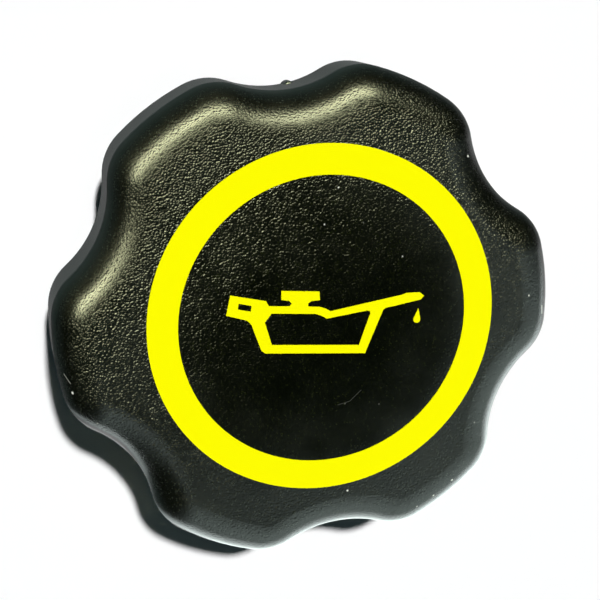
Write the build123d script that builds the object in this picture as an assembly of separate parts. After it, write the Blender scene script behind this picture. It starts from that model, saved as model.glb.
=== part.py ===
from build123d import *
import os

# Oil filler cap: a lobed grip head over a hollow bayonet plug, with a rubber seal and a printed top.
# Lengths are in millimetres and angles in degrees. +Z runs up the cap's axis and +Y is up for the printed
# oil can. The origin is on the axis at the plug's open end, which the cap stands on.

# Grip head
lobe_count = 6
lobe_radius = 37.5  # from the axis to the crown of a lobe
lobe_turn = 10.2  # from +X to the first lobe
notch_depth = 4.2
notch_radius = 17.0  # the hollow between two lobes
notch_shoulder = 8.3  # the rounding from a hollow into a lobe
head_height = 14.4  # from the skirt's rim to the top face
top_edge_radius = 6.0
top_plate = 3.0
skirt_wall = 2.5
rim_edge_radius = 0.5

# Gate mark, a nub left by moulding on the rim of one notch
gate_notch = 2  # counted from the first lobe
gate_turn = -3.4  # from the middle of that notch
gate_radius = 1.0
gate_proud = 0.5
gate_height = 2.2

# Bayonet plug
plug_radius = 18.5
plug_wall = 3.0
plug_drop = 12.0  # below the skirt's rim
plug_lead_in = 1.2
lug_count = 2
lug_reach = 3.0  # beyond the plug's wall
lug_span = 38.0
lug_height = 4.5
lug_lift = 2.0  # from the plug's end to the lug
lug_ramp = 6.0

# Seal, and the collar and ribs round it
seal_width = 4.8
seal_thickness = 3.0
seal_edge_radius = 0.8
seal_clearance = 0.15  # to the plug and to the collar
collar_wall = 1.6
collar_depth = 4.5
ribs_per_lobe = 2
rib_thickness = 1.6
rib_depth = 4.0

# Print on the top face
print_film = 0.1
print_shift_x = 0.7
print_shift_y = 0.7
ring_radius = 25.7
ring_width = 4.4
symbol_width = 29.2

# The oil can's outlines, on a grid that is 100 across its width and centred on the printed ring
SYMBOL_GRID = 100
HANDLE_AND_SPOUT_TOP = [
    (-48.6, 13.0), (-30.7, 10.3), (-29.2, 7.8), (-19.0, 7.8), (-17.8, 9.2), (-19.4, 10.6), (-23.2, 11.0),
    (-23.6, 15.5), (-4.3, 15.4), (-3.7, 11.1), (-7.8, 10.6), (-9.6, 9.4), (-9.4, 7.8), (-3.4, 7.7),
    (-0.4, 6.8), (2.2, 5.5), (38.6, 14.2), (41.0, 15.2), (47.8, 15.6), (50.3, 14.0),
]
SPOUT_UNDERSIDE_AND_BASE = [
    (48.8, 11.9), (30.6, 7.4), (29.4, 6.4), (22.0, -16.1), (-29.4, -16.1), (-31.3, -14.8), (-37.2, -1.6),
    (-39.4, 0.5), (-50.0, 2.9),
]
HANDLE_HOLE = [(-44.2, 9.0), (-37.9, 7.9), (-37.9, 5.0), (-44.4, 6.0)]
CAN_INSIDE = [
    (-27.6, 4.1), (-5.4, 4.1), (-2.6, 3.3), (0.5, 1.7), (20.6, 5.9), (22.4, 5.8), (22.8, 4.6), (18.4, -11.8),
    (-26.2, -11.8), (-30.6, -0.4),
]
DROP_TIP = (47.9, 7.4)
DROP_MIDDLE = (47.7, 1.6)
DROP_RADIUS = 1.85

# Levels and radii that follow from the sizes above
rim_level = plug_drop
top_level = rim_level + head_height
plate_level = top_level - top_plate
plate_middle = plate_level + top_plate / 2
lobe_pitch = 360 / lobe_count
half_notch = lobe_pitch / 2
seal_inner_radius = plug_radius + seal_clearance
seal_outer_radius = seal_inner_radius + seal_width
collar_inner_radius = seal_outer_radius + seal_clearance


def lobed_outline(inset):
    """The head's outline seen from above, moved inwards by inset. Its arcs keep their centres."""
    hollow_distance = lobe_radius - notch_depth + notch_radius
    hollow = Circle(notch_radius + inset)
    hollows = PolarLocations(hollow_distance, lobe_count, lobe_turn + half_notch) * hollow
    outline = Circle(lobe_radius - inset) - hollows
    return fillet(outline.vertices(), notch_shoulder - inset)


def lobed_block(inset, level):
    """A solid from the rim up to a level, with the top edge rounded to match the inset."""
    block = extrude(Pos(0, 0, rim_level) * lobed_outline(inset), level - rim_level)
    return fillet(block.faces().sort_by(Axis.Z)[-1].edges(), top_edge_radius - inset)


def ring(inner_radius, outer_radius, low, high):
    return extrude(Pos(0, 0, low) * (Circle(outer_radius) - Circle(inner_radius)), high - low)


def head_shell():
    outside = lobed_block(0, top_level)
    outside = fillet(outside.faces().sort_by(Axis.Z)[0].edges(), rim_edge_radius)
    return outside - lobed_block(skirt_wall, plate_level)


def ribs():
    """Radial ribs under the top plate, from the collar to the skirt, rooted in the middle of both walls."""
    inner_end = collar_inner_radius + collar_wall / 2
    length = lobe_radius - inner_end
    height = plate_middle - plate_level + rib_depth
    bar = Pos(inner_end, 0, plate_level - rib_depth) * Box(
        length, rib_thickness, height, align=(Align.MIN, Align.CENTER, Align.MIN)
    )
    bars = PolarLocations(0, lobe_count * ribs_per_lobe, lobe_turn) * bar
    return Part() + bars & lobed_block(skirt_wall / 2, plate_middle)


def plug():
    tube = ring(plug_radius - plug_wall, plug_radius, 0, plate_middle)
    open_end = tube.edges().filter_by(GeomType.CIRCLE).group_by(Axis.Z)[0].sort_by(SortBy.RADIUS)[-1]
    return chamfer(open_end, plug_lead_in)


def lug():
    """One bayonet lug on the +X side, its upper face sloped so that turning pulls the cap down."""
    root = plug_radius - plug_wall / 2
    width = plug_radius + lug_reach - root
    profile = Plane.XZ * Pos(root + width / 2, lug_lift + lug_height / 2) * Rectangle(width, lug_height)
    block = Rot(0, 0, -lug_span / 2) * revolve(profile, Axis.Z, lug_span)
    slope = Pos(plug_radius, 0, lug_lift + lug_height) * Rot(lug_ramp, 0, 0) * Pos(0, 0, lug_height / 2)
    return block - slope * Box(2 * plug_radius, 2 * plug_radius, lug_height)


def gate_mark():
    notch_floor = lobe_radius - notch_depth
    nub = Cylinder(gate_radius, gate_height, align=(Align.CENTER, Align.CENTER, Align.MIN))
    nub = fillet(nub.edges().sort_by(Axis.Z)[-1], gate_proud)
    turn = lobe_turn + lobe_pitch * gate_notch - half_notch + gate_turn
    return Rot(0, 0, turn) * Pos(notch_floor - gate_radius + gate_proud, 0, rim_level) * nub


def collar():
    """The short wall that keeps the seal in place."""
    outer_radius = collar_inner_radius + collar_wall
    return ring(collar_inner_radius, outer_radius, plate_level - collar_depth, plate_middle)


def cap_body():
    body = head_shell() + ribs() + collar() + plug()
    body += PolarLocations(0, lug_count) * lug()
    return body + gate_mark()


def sealing_ring():
    seal = ring(seal_inner_radius, seal_outer_radius, plate_level - seal_thickness, plate_level)
    return fillet(seal.edges().filter_by(GeomType.CIRCLE).group_by(Axis.Z)[0], seal_edge_radius)


def printed(face):
    """A film of ink on the top face, with the whole print's shift off the cap's axis."""
    return extrude(Pos(print_shift_x, print_shift_y, top_level) * face, print_film)


def yellow_ring():
    return printed(Circle(ring_radius) - Circle(ring_radius - ring_width))


def on_symbol_grid(points):
    scale = symbol_width / SYMBOL_GRID
    return [(x * scale, y * scale) for x, y in points]


def symbol_face(points):
    return make_face(Polyline(*on_symbol_grid(points), close=True))


def oil_can_symbol():
    outside = symbol_face(HANDLE_AND_SPOUT_TOP + SPOUT_UNDERSIDE_AND_BASE)
    return printed(outside - symbol_face(HANDLE_HOLE) - symbol_face(CAN_INSIDE))


def oil_drop_symbol():
    tip, middle = on_symbol_grid([DROP_TIP, DROP_MIDDLE])
    bead = Circle(DROP_RADIUS * symbol_width / SYMBOL_GRID)
    return printed(make_hull((Pos(*middle) * bead).edges() + [Line(middle, tip)]))


os.makedirs("parts", exist_ok=True)
export_step(cap_body(), "parts/cap_body.step")
export_step(sealing_ring(), "parts/sealing_ring.step")
export_step(yellow_ring(), "parts/yellow_ring.step")
export_step(oil_can_symbol(), "parts/oil_can_symbol.step")
export_step(oil_drop_symbol(), "parts/oil_drop_symbol.step")
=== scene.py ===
import math
import bpy
from mathutils import Matrix, Vector


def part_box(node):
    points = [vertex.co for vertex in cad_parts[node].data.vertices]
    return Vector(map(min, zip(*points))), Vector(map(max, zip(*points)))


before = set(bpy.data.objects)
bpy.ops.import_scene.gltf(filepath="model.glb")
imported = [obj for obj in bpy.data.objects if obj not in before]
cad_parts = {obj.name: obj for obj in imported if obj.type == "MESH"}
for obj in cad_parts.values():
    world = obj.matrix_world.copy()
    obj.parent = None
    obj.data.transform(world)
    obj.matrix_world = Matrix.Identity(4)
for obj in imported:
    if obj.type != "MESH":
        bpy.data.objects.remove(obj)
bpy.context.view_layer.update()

# An oil filler cap of grained black plastic with a printed yellow ring and oil can, on a pale floor.
# Lengths are in metres, in the cap's own frame, unless a name or the heading above it says otherwise.
# Angles are in degrees, and a compass heading runs clockwise from +Y, seen from above.
MM = 0.001
TOP_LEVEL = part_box("cap_body")[1].z

# The camera's view, from the middle of the cap's top face
PICTURE_SIDE = 600
SENSOR_MM = 36.0
FOCAL_PIXELS = 1183.4
CAMERA_AIM_MM = (-3.32, 3.91)
CAMERA_DISTANCE_MM = 168.0
CAMERA_TILT = 21.27
CAMERA_HEADING = -47.27
CAMERA_ROLL = 4.51
CAMERA_CLIP = 0.01

# The floor's colour in its bounced light, and as the camera and reflections see it
FLOOR_SIZE = 6.0
FLOOR_BOUNCE = (0.85, 0.85, 0.85, 1)
FLOOR_SEEN = (1.0, 1.0, 1.0, 1)

# The sun, a card that lies just above the floor, and a fill lamp overhead
LAMP_DISTANCE = 0.8
LAMP_SIZE = 1.6
SUN_HEADING = 357
SUN_ELEVATION = 61
SUN_WIDTH = 3.0
SUN_LEVEL = 1.12
CARD_HEADING = 158
CARD_DISTANCE = 0.845
CARD_HEIGHT = 1.0 * MM
CARD_ENERGY = 18.0
CARD_COLOUR = (0.85, 1.0, 0.96)
FILL_ENERGY = 0.26
FILL_COLOUR = (0.6, 0.95, 1.05)

# The sky's glow behind the cap: elevations between which it fades, and cosines of the angle to its heading
GLOW_HEADING = 145
GLOW_LEVEL = 3.2
GLOW_TOP = (54, 65)
GLOW_FOOT = (1.72, 24)
GLOW_FOOT_SHARE = 0.45
GLOW_SIDES = (0.45, 0.85)
GLOW_COLOUR = (0.83, 1.0, 0.94, 1)

# The sky's bright band on the other side, whose width is in sines of the elevation
BAND_HEADING = -29
BAND_ELEVATION = 52
BAND_WIDTH = 0.06
BAND_LEVEL = 57.0
BAND_SIDES = (0.35, 0.75)
BAND_COLOUR = (1.0, 1.02, 0.62, 1)
WHITE = (1, 1, 1, 1)

# The grain's domes: their level middle, and how they steepen per mm to their edge on one side
GRAINS_PER_MM = 3.2
GRAIN_TOP_MM = 0.055
GRAIN_CURVE = 5.1
GRAIN_SLOPE = 0.51
GRAIN_HEADING = -40
GRAIN_SIDES = (0.1, 0.8)
GRAIN_BACK = 0.1
GRAIN_CHANCE = (0.7, 1.15)

# The grain's strength along a heading, outside the printed ring and in the field inside it, and on the walls
UNDER_RING_MM = (20.0, 24.0)
GROUND_HEADING = -20
GROUND_SPAN_MM = (-20.0, 25.0)
GROUND_GRAIN = (0.72, 1.0)
FIELD_HEADING = -50
FIELD_SPAN_MM = (-8.0, 20.0)
FIELD_GRAIN = (0.5, 0.71)
GRAIN_FADE_MM = (1.4, 3.0)
WALL_GRAIN = 0.1

# The lean of the normals: upwards on one side, added between two depths, and sideways in the field
LEAN_HEADING = -30
LEAN_SIDES = (-0.4, 0.1)
LEAN_STEPS_MM = ((0.0, 1.0, 0.3), (1.0, 6.0, 0.6), (6.0, 7.2, -0.5))
FIELD_EDGE_MM = (18.0, 24.0)
FIELD_LEAN_HEADING = -43
FIELD_LEAN = 0.06

# The plastic's colours, with painted glints as pale dots on the grain and a painted sheen on the walls, and
# its gloss
NOISE_SPAN = (0.3, 0.7)
BLACK_LOW = (0.0004, 0.0009, 0.0002, 1)
BLACK_HIGH = (0.0012, 0.002, 0.0005, 1)
# Painted glints: pale dots at the middles of the grain's cells, paler outside the printed ring than in the
# field inside it
DOT_SPAN = (0.1, 0.5)
DOT_CHANCE = (0.4, 1.0)
FIELD_PAINTED_GLINT = (0.013, 0.017, 0.003, 1)
GROUND_PAINTED_GLINT = (0.03, 0.036, 0.024, 1)
# Painted sheen: below these depths the walls are painted a greyer teal than the black top
WALL_START_MM = (2.0, 5.0)
WALL_PAINTED_SHEEN = (0.013, 0.021, 0.0185, 1)
DUST_COLOUR = (0.9, 0.92, 0.8, 1)
SPECULAR_LEVEL = 0.3
ROUGHNESS_SPAN_MM = (10.0, 24.0)
ROUGHNESS = (0.16, 0.24)
CLOUDS_PER_MM = 0.16
CLOUD_ROUGHNESS = 0.03

# The ink and the seal
INK_LIGHT = (1.0, 0.98, 0.0, 1)
INK_DEEP = (0.99, 0.96, 0.0, 1)
INK_CLOUDS_PER_MM = 0.5
INK_ROUGHNESS = 0.6
INK_SPECULAR = 0.01
INK_BUMP = 0.4
INK_BUMP_HEIGHT = 0.02 * MM
BUMPS_PER_MM = 2.8
RUBBER_DARK = (0.012, 0.012, 0.013, 1)
RUBBER_PALE = (0.03, 0.03, 0.03, 1)
RUBBER_CLOUDS_PER_MM = 0.3
RUBBER_ROUGHNESS = (0.5, 0.65)
RUBBER_BUMPS_PER_MM = 2.0
RUBBER_BUMP_HEIGHT = 0.03 * MM

# Dust and scratches on the plastic: ends in millimetres from the middle of the top face, radius and whiteness
MARK_EDGE = (0.5, 1.3)
SPECKS = (
    ((6.42, -25.64, 0.0), 0.16, 0.8),
    ((20.36, 25.23, -1.16), 0.18, 1.0),
    ((32.23, 4.88, -0.1), 0.14, 0.7),
    ((-34.58, -10.36, -2.14), 0.21, 1.0),
    ((23.47, -24.8, -0.61), 0.17, 1.0),
    ((20.71, -27.31, -0.68), 0.15, 1.0),
    ((18.18, -29.04, -0.67), 0.13, 0.8),
    ((25.88, -15.25, -0.19), 0.13, 0.3),
    ((10.08, -11.94, 0.0), 0.12, 0.08),
    ((4.78, -11.77, 0.0), 0.12, 0.1),
    ((-31.05, -14.67, -1.39), 0.14, 0.4),
    ((0.96, 20.2, 0.0), 0.12, 0.8),
    ((-0.63, 14.9, 0.0), 0.12, 0.7),
    ((5.1, 15.33, 0.0), 0.11, 0.12),
    ((11.46, 10.52, 0.0), 0.12, 0.5),
)
SCRATCHES = (
    ((35.32, 2.9, -1.48), (35.55, 1.76, -1.61), 0.14, 0.9),
    ((31.45, -10.08, -4.02), (31.75, -11.11, -4.02), 0.2, 0.6),
    ((-35.77, -7.79, -2.85), (-34.9, -8.93, -2.06), 0.08, 0.3),
    ((3.72, -11.99, 0.0), (5.52, -11.4, 0.0), 0.06, 0.04),
    ((5.52, -11.4, 0.0), (7.06, -9.71, 0.0), 0.06, 0.04),
)


def sine(degrees):
    return math.sin(math.radians(degrees))


def heading_vector(heading, elevation=0):
    """A unit vector at a heading and an angle above the level."""
    h, e = math.radians(heading), math.radians(elevation)
    return Vector((math.sin(h) * math.cos(e), math.cos(h) * math.cos(e), math.sin(e)))


def add_camera():
    back = heading_vector(CAMERA_HEADING, 90 - CAMERA_TILT)
    aim = Vector((*CAMERA_AIM_MM, 0)) * MM + Vector((0, 0, TOP_LEVEL))
    right = Vector((0, 1, 0)).cross(back).normalized()
    axes = Matrix((right, back.cross(right), back)).transposed()
    turn = axes @ Matrix.Rotation(math.radians(CAMERA_ROLL), 3, "Z")
    camera = bpy.data.objects.new("camera", bpy.data.cameras.new("camera"))
    camera.matrix_world = Matrix.Translation(aim + back * CAMERA_DISTANCE_MM * MM) @ turn.to_4x4()
    camera.data.sensor_width = SENSOR_MM
    camera.data.lens = FOCAL_PIXELS / PICTURE_SIDE * SENSOR_MM
    camera.data.clip_start = CAMERA_CLIP
    bpy.context.scene.collection.objects.link(camera)
    bpy.context.scene.camera = camera


class Nodes:
    """Short calls for building one material's or world's node tree."""

    def __init__(self, tree):
        self.tree = tree
        tree.nodes.clear()

    def add(self, kind, inputs=None, **settings):
        node = self.tree.nodes.new(kind)
        for name, value in settings.items():
            setattr(node, name, value)
        for socket, value in (inputs or {}).items():
            self.put(node, socket, value)
        return node

    def put(self, node, socket, value):
        if isinstance(value, bpy.types.NodeSocket):
            self.tree.links.new(value, node.inputs[socket])
        else:
            node.inputs[socket].default_value = value

    def math(self, operation, *values):
        return self.add("ShaderNodeMath", dict(enumerate(values)), operation=operation).outputs[0]

    def spread(self, value, low, high, to_low=0.0, to_high=1.0, shape="LINEAR"):
        """The value moved from one range to another, and kept inside it."""
        names = ("Value", "From Min", "From Max", "To Min", "To Max")
        sockets = dict(zip(names, (value, low, high, to_low, to_high)))
        return self.add("ShaderNodeMapRange", sockets, interpolation_type=shape).outputs[0]

    def smooth(self, value, low, high, to_low=0.0, to_high=1.0):
        """As spread, with soft ends."""
        return self.spread(value, low, high, to_low, to_high, "SMOOTHSTEP")

    def mix_colour(self, share, first, second):
        return self.add("ShaderNodeMix", {0: share, 6: first, 7: second}, data_type="RGBA").outputs[2]

    def noise(self, place, per_mm, detail):
        return self.add("ShaderNodeTexNoise", {"Vector": place, "Scale": per_mm, "Detail": detail}).outputs[0]

    def vector(self, operation, *values):
        return self.add("ShaderNodeVectorMath", dict(enumerate(values)), operation=operation).outputs[0]

    def scaled(self, vector, factor):
        return self.add("ShaderNodeVectorMath", {0: vector, "Scale": factor}, operation="SCALE").outputs[0]

    def dot(self, first, second):
        node = self.add("ShaderNodeVectorMath", {0: first, 1: second}, operation="DOT_PRODUCT")
        return node.outputs["Value"]

    def length(self, vector):
        return self.add("ShaderNodeVectorMath", {0: vector}, operation="LENGTH").outputs["Value"]

    def height_of(self, vector):
        return self.add("ShaderNodeSeparateXYZ", {0: vector}).outputs[2]

    def levelled(self, vector):
        return self.vector("MULTIPLY", vector, (1, 1, 0))

    def normal(self):
        return self.add("ShaderNodeNewGeometry").outputs["Normal"]

    def place_in_mm(self):
        """The surface point in the cap's frame, in millimetres."""
        return self.scaled(self.add("ShaderNodeTexCoord").outputs["Object"], 1 / MM)


def new_material(name):
    material = bpy.data.materials.new(name)
    material.use_nodes = True
    return material, Nodes(material.node_tree)


def finish_material(nodes, sockets):
    shader = nodes.add("ShaderNodeBsdfPrincipled", sockets)
    nodes.add("ShaderNodeOutputMaterial", {"Surface": shader.outputs[0]})


def fine_bumps(nodes, place):
    return nodes.noise(place, BUMPS_PER_MM, detail=1.0)


def grain_strength(nodes, place, depth, radius, chance):
    """How steep the domes are at the surface point: by place, by depth below the top face, and by chance."""
    ground = nodes.spread(nodes.dot(place, heading_vector(GROUND_HEADING)), *GROUND_SPAN_MM, *GROUND_GRAIN)
    field = nodes.spread(nodes.dot(place, heading_vector(FIELD_HEADING)), *FIELD_SPAN_MM, *FIELD_GRAIN)
    ground = nodes.math("MULTIPLY", ground, nodes.smooth(radius, *UNDER_RING_MM))
    field = nodes.math("MULTIPLY", field, nodes.smooth(radius, *UNDER_RING_MM, 1.0, 0.0))
    fade = nodes.spread(depth, *GRAIN_FADE_MM, 1.0, WALL_GRAIN)
    strength = nodes.math("MULTIPLY", fade, nodes.math("ADD", ground, field))
    return nodes.math("MULTIPLY", strength, nodes.spread(chance, 0.0, 1.0, *GRAIN_CHANCE))


def grain_lean(nodes, place, cells, strength):
    """The slope of the moulded grain: small domes side by side, level on top and steeper towards one side."""
    normal = nodes.normal()
    across = nodes.vector("SUBTRACT", place, cells["Position"])
    across = nodes.vector("SUBTRACT", across, nodes.scaled(normal, nodes.dot(across, normal)))
    edge = GRAIN_TOP_MM + GRAIN_SLOPE / GRAIN_CURVE
    steep = nodes.spread(nodes.length(across), GRAIN_TOP_MM, edge, 0.0, GRAIN_SLOPE)
    facing = nodes.vector("NORMALIZE", across)
    towards = nodes.dot(facing, heading_vector(GRAIN_HEADING))
    steep = nodes.math("MULTIPLY", steep, nodes.spread(towards, *GRAIN_SIDES, GRAIN_BACK, 1.0))
    return nodes.scaled(facing, nodes.math("MULTIPLY", steep, strength))


def broad_lean(nodes, depth, radius):
    """A lean of the normals on one side's edge and walls and in the field, tuned to match the photo."""
    rise = 0.0
    for low, high, added in LEAN_STEPS_MM:
        rise = nodes.math("ADD", nodes.spread(depth, low, high, 0.0, added), rise)
    side = nodes.smooth(nodes.dot(nodes.normal(), heading_vector(LEAN_HEADING)), *LEAN_SIDES)
    upwards = nodes.scaled((0, 0, 1), nodes.math("MULTIPLY", rise, side))
    field = nodes.smooth(radius, *FIELD_EDGE_MM, FIELD_LEAN, 0.0)
    return nodes.vector("ADD", upwards, nodes.scaled(heading_vector(FIELD_LEAN_HEADING), field))


def distance_to(nodes, place, start, end=None):
    """How far the surface point is from a point or, with an end, from a straight line, in millimetres."""
    top = Vector((0, 0, TOP_LEVEL / MM))
    gap = nodes.vector("SUBTRACT", place, Vector(start) + top)
    if end:
        along = Vector(end) - Vector(start)
        share = nodes.spread(nodes.dot(gap, along / along.length_squared), 0.0, 1.0)
        gap = nodes.vector("SUBTRACT", gap, nodes.scaled(along, share))
    return nodes.length(gap)


def marks(nodes, place):
    """The whiteness of the dust and scratches at the surface point."""
    sharp, soft = MARK_EDGE
    total = 0.0
    for *ends, radius, whiteness in SPECKS + SCRATCHES:
        distance = distance_to(nodes, place, *ends)
        mark = nodes.smooth(distance, sharp * radius, soft * radius, whiteness, 0.0)
        total = nodes.math("MAXIMUM", mark, total)
    return total


def plastic_colour(nodes, place, depth, radius, cells, chance):
    """Black with painted glints as pale dots on the grain, walls painted greyer teal as a painted sheen, and
    the marks.
    """
    # Painted glints: pale dots at the middles of the grain's cells, shown by chance
    round_dots = nodes.smooth(cells["Distance"], *DOT_SPAN, 1.0, 0.0)
    dots = nodes.math("MULTIPLY", round_dots, nodes.smooth(chance, *DOT_CHANCE))
    glint_paint = nodes.mix_colour(nodes.smooth(radius, *FIELD_EDGE_MM), FIELD_PAINTED_GLINT, GROUND_PAINTED_GLINT)
    black = nodes.mix_colour(nodes.spread(fine_bumps(nodes, place), *NOISE_SPAN), BLACK_LOW, BLACK_HIGH)
    top = nodes.mix_colour(dots, black, glint_paint)
    # Painted sheen: the walls turn a greyer teal below the top face
    colour = nodes.mix_colour(nodes.spread(depth, *WALL_START_MM), top, WALL_PAINTED_SHEEN)
    return nodes.mix_colour(marks(nodes, place), colour, DUST_COLOUR)


def black_plastic():
    material, nodes = new_material("grained_black_plastic")
    place = nodes.place_in_mm()
    depth = nodes.math("SUBTRACT", TOP_LEVEL / MM, nodes.height_of(place))
    radius = nodes.length(nodes.levelled(place))
    cells = nodes.add("ShaderNodeTexVoronoi", {"Vector": place, "Scale": GRAINS_PER_MM}).outputs
    chances = nodes.add("ShaderNodeSeparateColor", {0: cells["Color"]}).outputs
    strength = grain_strength(nodes, place, depth, radius, chances[0])
    lean = nodes.vector("ADD", grain_lean(nodes, place, cells, strength), broad_lean(nodes, depth, radius))
    cloud = nodes.noise(place, CLOUDS_PER_MM, detail=3.0)
    cloud = nodes.spread(cloud, *NOISE_SPAN, -CLOUD_ROUGHNESS, CLOUD_ROUGHNESS)
    finish_material(nodes, {
        "Base Color": plastic_colour(nodes, place, depth, radius, cells, chances[1]),
        "Roughness": nodes.math("ADD", nodes.spread(radius, *ROUGHNESS_SPAN_MM, *ROUGHNESS), cloud),
        "Specular IOR Level": SPECULAR_LEVEL,
        "Normal": nodes.vector("NORMALIZE", nodes.vector("ADD", nodes.normal(), lean)),
    })
    return material


def yellow_ink():
    material, nodes = new_material("yellow_ink")
    place = nodes.place_in_mm()
    bumps = {"Height": fine_bumps(nodes, place), "Strength": INK_BUMP, "Distance": INK_BUMP_HEIGHT}
    cloud = nodes.noise(place, INK_CLOUDS_PER_MM, detail=4.0)
    finish_material(nodes, {
        "Base Color": nodes.mix_colour(cloud, INK_LIGHT, INK_DEEP),
        "Roughness": INK_ROUGHNESS,
        "Specular IOR Level": INK_SPECULAR,
        "Normal": nodes.add("ShaderNodeBump", bumps).outputs[0],
    })
    return material


def seal_rubber():
    material, nodes = new_material("seal_rubber")
    place = nodes.place_in_mm()
    bumps = {"Height": nodes.noise(place, RUBBER_BUMPS_PER_MM, detail=4.0), "Distance": RUBBER_BUMP_HEIGHT}
    cloud = nodes.noise(place, RUBBER_CLOUDS_PER_MM, detail=3.0)
    finish_material(nodes, {
        "Base Color": nodes.mix_colour(cloud, RUBBER_DARK, RUBBER_PALE),
        "Roughness": nodes.spread(cloud, *NOISE_SPAN, *RUBBER_ROUGHNESS),
        "Normal": nodes.add("ShaderNodeBump", bumps).outputs[0],
    })
    return material


def paint(node_name, material):
    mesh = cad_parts[node_name].data
    mesh.materials.clear()
    mesh.materials.append(material)


def add_floor():
    """A white floor, a little brighter to the camera and in reflections, which keeps the cap's shadow."""
    material, nodes = new_material("pale_floor")
    path = nodes.add("ShaderNodeLightPath").outputs
    seen = nodes.math("MAXIMUM", path["Is Camera Ray"], path["Is Glossy Ray"])
    seen = nodes.math("MAXIMUM", seen, path["Is Transmission Ray"])
    colour = nodes.mix_colour(seen, FLOOR_BOUNCE, FLOOR_SEEN)
    shader = nodes.add("ShaderNodeBsdfDiffuse", {"Color": colour})
    nodes.add("ShaderNodeOutputMaterial", {"Surface": shader.outputs[0]})
    bpy.ops.mesh.primitive_plane_add(size=FLOOR_SIZE)
    floor = bpy.context.object
    floor.name = "floor"
    floor.data.materials.append(material)


def add_lamp(name, kind, place, turn, colour, **settings):
    light = bpy.data.lights.new(name, kind)
    light.color = colour
    for setting, value in settings.items():
        setattr(light, setting, value)
    lamp = bpy.data.objects.new(name, light)
    lamp.matrix_world = Matrix.Translation(place) @ turn.to_4x4()
    lamp.visible_camera = False
    bpy.context.scene.collection.objects.link(lamp)
    return lamp


def add_lights():
    """A sun and a weak overhead fill that don't show in gloss, and a card that shows only in gloss."""
    towards = heading_vector(SUN_HEADING, SUN_ELEVATION)
    turn = towards.to_track_quat("Z", "Y").to_matrix()
    sun = add_lamp("sun", "SUN", towards * LAMP_DISTANCE, turn, WHITE[:3],
                   energy=math.pi * SUN_LEVEL, angle=math.radians(SUN_WIDTH))
    sun.visible_glossy = False
    place = heading_vector(CARD_HEADING) * CARD_DISTANCE + Vector((0, 0, CARD_HEIGHT))
    card = add_lamp("floor_card", "AREA", place, Matrix.Rotation(math.pi, 3, "X"), CARD_COLOUR,
                    energy=CARD_ENERGY, shape="DISK", size=LAMP_SIZE)
    card.visible_diffuse = False
    fill = add_lamp("fill_lamp", "AREA", Vector((0, 0, LAMP_DISTANCE)), Matrix.Identity(3), FILL_COLOUR,
                    energy=FILL_ENERGY, shape="DISK", size=LAMP_SIZE)
    fill.visible_glossy = False


def sky_glow(nodes, height, level):
    """A broad glow behind the cap, weaker down by the horizon."""
    high, clear = (sine(elevation) for elevation in GLOW_TOP)
    low, full = (sine(elevation) for elevation in GLOW_FOOT)
    sides = nodes.smooth(nodes.dot(level, heading_vector(GLOW_HEADING)), *GLOW_SIDES)
    glow = nodes.math("MULTIPLY", nodes.smooth(height, high, clear, GLOW_LEVEL, 0.0), sides)
    return nodes.math("MULTIPLY", glow, nodes.smooth(height, low, full, GLOW_FOOT_SHARE, 1.0))


def sky_band(nodes, height, level):
    """A bright band across the sky on the side that the grain faces."""
    off = nodes.math("DIVIDE", nodes.math("SUBTRACT", height, sine(BAND_ELEVATION)), BAND_WIDTH)
    band = nodes.math("EXPONENT", nodes.math("MULTIPLY", nodes.math("MULTIPLY", off, off), -1.0))
    sides = nodes.smooth(nodes.dot(level, heading_vector(BAND_HEADING)), *BAND_SIDES, 0.0, BAND_LEVEL)
    return nodes.math("MULTIPLY", band, sides)


def add_world():
    """A sky that shows in gloss and lights nothing else, and is plain white to the camera."""
    world = bpy.data.worlds.new("studio")
    world.use_nodes = True
    bpy.context.scene.world = world
    world.cycles_visibility.diffuse = False
    nodes = Nodes(world.node_tree)
    direction = nodes.add("ShaderNodeTexCoord").outputs["Generated"]
    height = nodes.height_of(direction)
    level = nodes.vector("NORMALIZE", nodes.levelled(direction))
    glow = {"Color": GLOW_COLOUR, "Strength": sky_glow(nodes, height, level)}
    band = {"Color": BAND_COLOUR, "Strength": sky_band(nodes, height, level)}
    glow = nodes.add("ShaderNodeBackground", glow).outputs[0]
    band = nodes.add("ShaderNodeBackground", band).outputs[0]
    gloss = nodes.add("ShaderNodeAddShader", {0: glow, 1: band}).outputs[0]
    white = nodes.add("ShaderNodeBackground", {"Color": WHITE, "Strength": 1.0}).outputs[0]
    seen = nodes.add("ShaderNodeLightPath").outputs["Is Camera Ray"]
    sky = nodes.add("ShaderNodeMixShader", {0: seen, 1: gloss, 2: white})
    nodes.add("ShaderNodeOutputWorld", {"Surface": sky.outputs[0]})


def main():
    bpy.context.scene.view_settings.view_transform = "Standard"
    paint("cap_body", black_plastic())
    paint("sealing_ring", seal_rubber())
    ink = yellow_ink()
    for name in ("yellow_ring", "oil_can_symbol", "oil_drop_symbol"):
        paint(name, ink)
    add_floor()
    add_world()
    add_lights()
    add_camera()


main()
